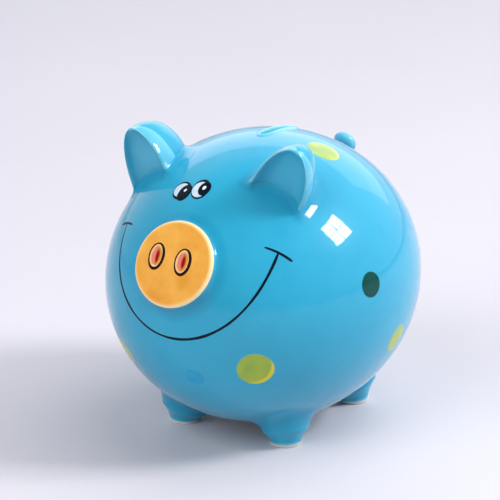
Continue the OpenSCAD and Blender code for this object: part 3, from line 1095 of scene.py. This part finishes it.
class PIG_OT_stopper(Operator):
    """Moulds the soft stopper with its flange, sealing bead and pinch rib"""

    bl_idname = "pig.stopper"
    bl_label = "Stopper"

    def execute(self, context):
        low, high = STOPPER_LOW, STOPPER_HIGH
        centre = np.array([(low[0] + high[0]) / 2, (low[1] + high[1]) / 2, 0.0])
        flange_r = (high[0] - low[0]) / 2
        seat = context.scene.pig_sizes.seat_height
        flange = seat - 0.0022
        bead = context.scene.pig_sizes.hole_radius - 0.0001
        neck = bead - 0.0005
        floor = seat + 0.0016
        corner = np.linspace(0, np.pi / 2, 7)
        swell = np.linspace(0, np.pi, 11)
        outline = [(0.004, flange), (0.010, flange)]
        outline += [(flange_r - 0.0008 + 0.0008 * np.sin(a), flange + 0.0008 * (1 - np.cos(a)))
                    for a in corner]
        outline += [(flange_r - 0.0005 * (1 - np.cos(a)), seat - 0.0005 * (1 - np.sin(a)))
                    for a in corner]
        outline += [(neck + 0.0004, seat), (neck, seat + 0.0004), (neck, seat + 0.0026)]
        outline += [(neck + 0.0005 * np.sin(a), seat + 0.0043 - 0.0014 * np.cos(a)) for a in swell]
        outline += [(neck - 0.0009, seat + 0.0080), (neck - 0.0021, high[2] - 0.0008)]
        top_r = neck - 0.0021
        outline += [(top_r - 0.0008 * (1 - np.cos(a)), high[2] - 0.0008 * (1 - np.sin(a)))
                    for a in corner]
        outline += [(top_r - 0.0018, high[2] - 0.0001), (top_r - 0.0022, high[2] - 0.0008),
                    (top_r - 0.0022, seat + 0.0024), (top_r - 0.0030, floor), (0.004, floor)]
        outline = np.array(outline)
        turn = round_turn(160)
        circle = np.stack([np.cos(turn), np.sin(turn), np.zeros(len(turn))], -1)
        grid = centre + circle * outline[:, :1, None] + UP * outline[:, 1:, None]
        bung = part(grid, centre + UP * flange, centre + UP * floor)

        turn = round_turn(96)
        rib_r = 0.0016
        reach = 0.011 - rib_r
        flat = np.zeros(len(turn))
        slide = reach * np.sign(np.sin(turn)) * np.minimum(1, np.abs(np.sin(turn)) * 3)
        line = np.stack([flat, slide, flat], -1)
        ring = np.stack([np.cos(turn), np.sin(turn), np.zeros(len(turn))], -1)
        depth = low[2]
        steps = [(0.45, depth), (0.75, depth + 0.00004)]
        steps += [(0.75 + 0.25 * np.sin(a), depth + 0.0005 * (1 - np.cos(a))) for a in corner]
        steps += [(1.0, flange - 0.0004), (1.12, flange - 0.00012), (1.35, flange + 0.0001),
                  (1.35, flange + 0.0004)]
        grid = np.array([centre + line * (0.97 + 0.03 * r) + ring * rib_r * r + UP * z
                         for r, z in steps])
        rib = part(grid, centre + UP * depth, centre + UP * (flange + 0.0004))
        made = piece("Stopper", [bung, rib])
        settle(made, finish_of("soft_rubber", soft_rubber), "stopper", "soft_rubber", "stopper")
        return {"FINISHED"}


# ---------------------------------------------------------------- stage


class StageSettings(PropertyGroup):
    """Where the camera stands and how bright the light is."""

    turn: angle("Camera turn", "Turn of the camera round the pig from its nose", 31.35)
    lift: angle("Camera lift", "Angle of the camera above the table", 19.44)
    distance: length("Camera distance", "From the body's middle to the lens", 1.2)
    lens: FloatProperty(name="Lens", description="Focal length in millimetres", default=209.6,
                        min=1)
    across: FloatProperty(name="Shift across", description="Sideways shift of the frame",
                          default=-0.0279)
    upward: FloatProperty(name="Shift upward", description="Upward shift of the frame",
                          default=0.0464)
    window: FloatProperty(name="Window", description="Power of each window pane", default=5.0,
                          min=0, unit="POWER")
    fill: FloatProperty(name="Fill", description="Power of the soft lamps round the room",
                        default=24.0, min=0, unit="POWER")
    haze: FloatProperty(name="Room", description="Brightness of the pale room", default=0.475,
                        min=0)
    panes: IntProperty(name="Panes", description="Panes across the window", default=2, min=1)


class PIG_OT_stage(Operator):
    """Sets the pale table, the soft window light and the camera"""

    bl_idname = "pig.stage"
    bl_label = "Stage"

    # Each lamp's way from the pig, its distance and its width and height, in metres.
    window_way, window_away = (0.72, 0.34, 0.61), 1.6
    pane, pane_gap = 0.205, 0.218
    card, card_share = ((-0.35, 0.85, 0.42), 2.0, (2.6, 1.0)), 0.35
    # The soft lamps' shares of the fill power come first.
    soft_lamps = (
        (0.8, (0.3, 0.3, 1.0), 1.8, (1.8, 1.8)),
        (1.35, (-0.25, -1.0, 0.75), 2.2, (1.6, 1.6)),
    )

    def execute(self, context):
        scene = context.scene
        middle = Shell(scene.pig_sizes).middle
        scene.view_settings.view_transform = "Standard"
        self.table(scene)
        self.room(scene)
        self.window(scene, middle)
        self.camera(scene, middle)
        return {"FINISHED"}

    def camera(self, scene, middle):
        """A long lens; its shift sets the pig a little right of the middle and low."""
        stage = scene.pig_stage
        way = Vector((
            np.sin(stage.turn) * np.cos(stage.lift),
            -np.cos(stage.turn) * np.cos(stage.lift),
            np.sin(stage.lift),
        ))
        lens_data = bpy.data.cameras.new("Camera")
        lens_data.sensor_width = 36.0
        lens_data.lens = stage.lens
        lens_data.shift_x = stage.across
        lens_data.shift_y = stage.upward
        lens_data.clip_end = 20.0
        camera = bpy.data.objects.new("Camera", lens_data)
        camera.location = Vector(middle) + way * stage.distance
        camera.rotation_euler = way.to_track_quat("Z", "Y").to_euler()
        scene.collection.objects.link(camera)
        scene.camera = camera

    def table(self, scene):
        """A wide flat floor with a faint unevenness of tone."""
        half = 6.0
        corners = [(-half, -half, 0), (half, -half, 0), (half, half, 0), (-half, half, 0)]
        mesh = bpy.data.meshes.new("Table")
        mesh.from_pydata(corners, [], [(0, 1, 2, 3)])
        table = bpy.data.objects.new("Table", mesh)
        scene.collection.objects.link(table)
        finish = Finish("table")
        cloud = finish.noise(0.22, 3.0, 1.0).between(0.3, 0.7)
        grain = finish.noise(0.004, 3.0, 2.0)
        colour = scene.pig_colours.table
        shade = tuple(c * 0.93 for c in colour)
        paint = finish.blend(cloud * 0.6 + grain * 0.2, rgba(colour), (*shade, 1.0))
        material = finish.close(paint, 0.55 + grain * 0.1, [(grain, 0.00005)],
                                Specular_IOR_Level=0.25)
        mesh.materials.append(material)

    def room(self, scene):
        """A pale room: bright walls up to a dim ceiling, brighter behind the pig than before
        it."""
        world = bpy.data.worlds.new("Room")
        scene.world = world
        world.use_nodes = True
        tree = world.node_tree
        tree.nodes.clear()

        def ramp(value, stops):
            """A colour ramp over a direction's height or depth."""
            made = tree.nodes.new("ShaderNodeValToRGB")
            made.color_ramp.interpolation = "EASE"
            for spot, (at, colour) in enumerate(stops):
                stop = made.color_ramp.elements[spot]
                stop.position = at
                stop.color = (*colour, 1.0)
            tree.links.new(value, made.inputs[0])
            return made.outputs[0]

        place = tree.nodes.new("ShaderNodeTexCoord")
        split = tree.nodes.new("ShaderNodeSeparateXYZ")
        tree.links.new(place.outputs["Generated"], split.inputs[0])
        height = ramp(split.outputs["Z"], ((0.70, (0.84, 0.90, 1.0)), (0.90, (0.10, 0.13, 0.18))))
        depth = tree.nodes.new("ShaderNodeMapRange")
        depth.inputs["From Min"].default_value = -0.5
        depth.inputs["From Max"].default_value = 0.5
        depth.inputs["To Min"].default_value = 0.5
        depth.inputs["To Max"].default_value = 2.1
        tree.links.new(split.outputs["Y"], depth.inputs["Value"])
        power = tree.nodes.new("ShaderNodeMath")
        power.operation = "MULTIPLY"
        power.inputs[1].default_value = scene.pig_stage.haze
        tree.links.new(depth.outputs[0], power.inputs[0])
        light = tree.nodes.new("ShaderNodeBackground")
        tree.links.new(height, light.inputs["Color"])
        tree.links.new(power.outputs[0], light.inputs["Strength"])
        out = tree.nodes.new("ShaderNodeOutputWorld")
        tree.links.new(light.outputs[0], out.inputs[0])

    def lamp(self, scene, middle, way, away, size, power, colour=(1.0, 1.0, 1.0), shines=True):
        """A flat lamp that looks at the pig from a way and a distance away."""
        data = bpy.data.lights.new("Lamp", "AREA")
        data.shape = "RECTANGLE"
        data.size, data.size_y = size
        data.energy = power
        data.color = colour
        made = bpy.data.objects.new("Lamp", data)
        toward = Vector(way).normalized()
        made.location = Vector(middle) + toward * away
        made.rotation_euler = toward.to_track_quat("Z", "Y").to_euler()
        made.visible_glossy = shines
        scene.collection.objects.link(made)
        return made

    def window(self, scene, middle):
        """A window of square panes high on the pig's left, a pale card behind that is only
        seen as a reflection, and soft lamps overhead and in front that give none."""
        stage = scene.pig_stage
        way = Vector(self.window_way).normalized()
        centre = Vector(middle) + way * self.window_away
        turn = way.to_track_quat("Z", "Y")
        size, gap = self.pane, self.pane_gap
        for row in range(stage.panes):
            for column in range(stage.panes):
                spot = Vector(((column - (stage.panes - 1) / 2) * gap,
                               (row - (stage.panes - 1) / 2) * gap, 0))
                away = centre + turn @ spot - Vector(middle)
                self.lamp(scene, middle, away, away.length, (size, size), stage.window)
        card = self.lamp(scene, middle, *self.card, stage.fill * self.card_share,
                         colour=(0.86, 0.88, 1.0))
        card.visible_diffuse = False
        for share, *place in self.soft_lamps:
            self.lamp(scene, middle, *place, stage.fill * share, shines=False)


# ---------------------------------------------------------------- panel and registration


MAKERS = (PIG_OT_body, PIG_OT_snout, PIG_OT_ears, PIG_OT_feet, PIG_OT_tail, PIG_OT_face,
          PIG_OT_spots, PIG_OT_stopper, PIG_OT_stage)


class PIG_PT_panel(Panel):
    """Lists the pieces of the pig in the order in which they are made"""

    bl_idname = "PIG_PT_panel"
    bl_label = "Piggy bank"
    bl_space_type = "VIEW_3D"
    bl_region_type = "UI"
    bl_category = "Piggy bank"

    def draw(self, context):
        for maker in MAKERS:
            self.layout.operator(maker.bl_idname)
        scene = context.scene
        for group in (scene.pig_sizes, scene.pig_colours, scene.pig_stage):
            for name in group.__annotations__:
                self.layout.prop(group, name)


CLASSES = (PigSizes, PigColours, StageSettings, *MAKERS, PIG_PT_panel)


def register():
    for found in CLASSES:
        bpy.utils.register_class(found)
    bpy.types.Scene.pig_sizes = PointerProperty(type=PigSizes)
    bpy.types.Scene.pig_colours = PointerProperty(type=PigColours)
    bpy.types.Scene.pig_stage = PointerProperty(type=StageSettings)


def unregister():
    for name in ("pig_sizes", "pig_colours", "pig_stage"):
        delattr(bpy.types.Scene, name)
    for found in reversed(CLASSES):
        bpy.utils.unregister_class(found)


def main():
    """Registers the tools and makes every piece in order."""
    register()
    for maker in MAKERS:
        group, name = maker.bl_idname.split(".")
        getattr(getattr(bpy.ops, group), name)()


if __name__ == "__main__":
    main()
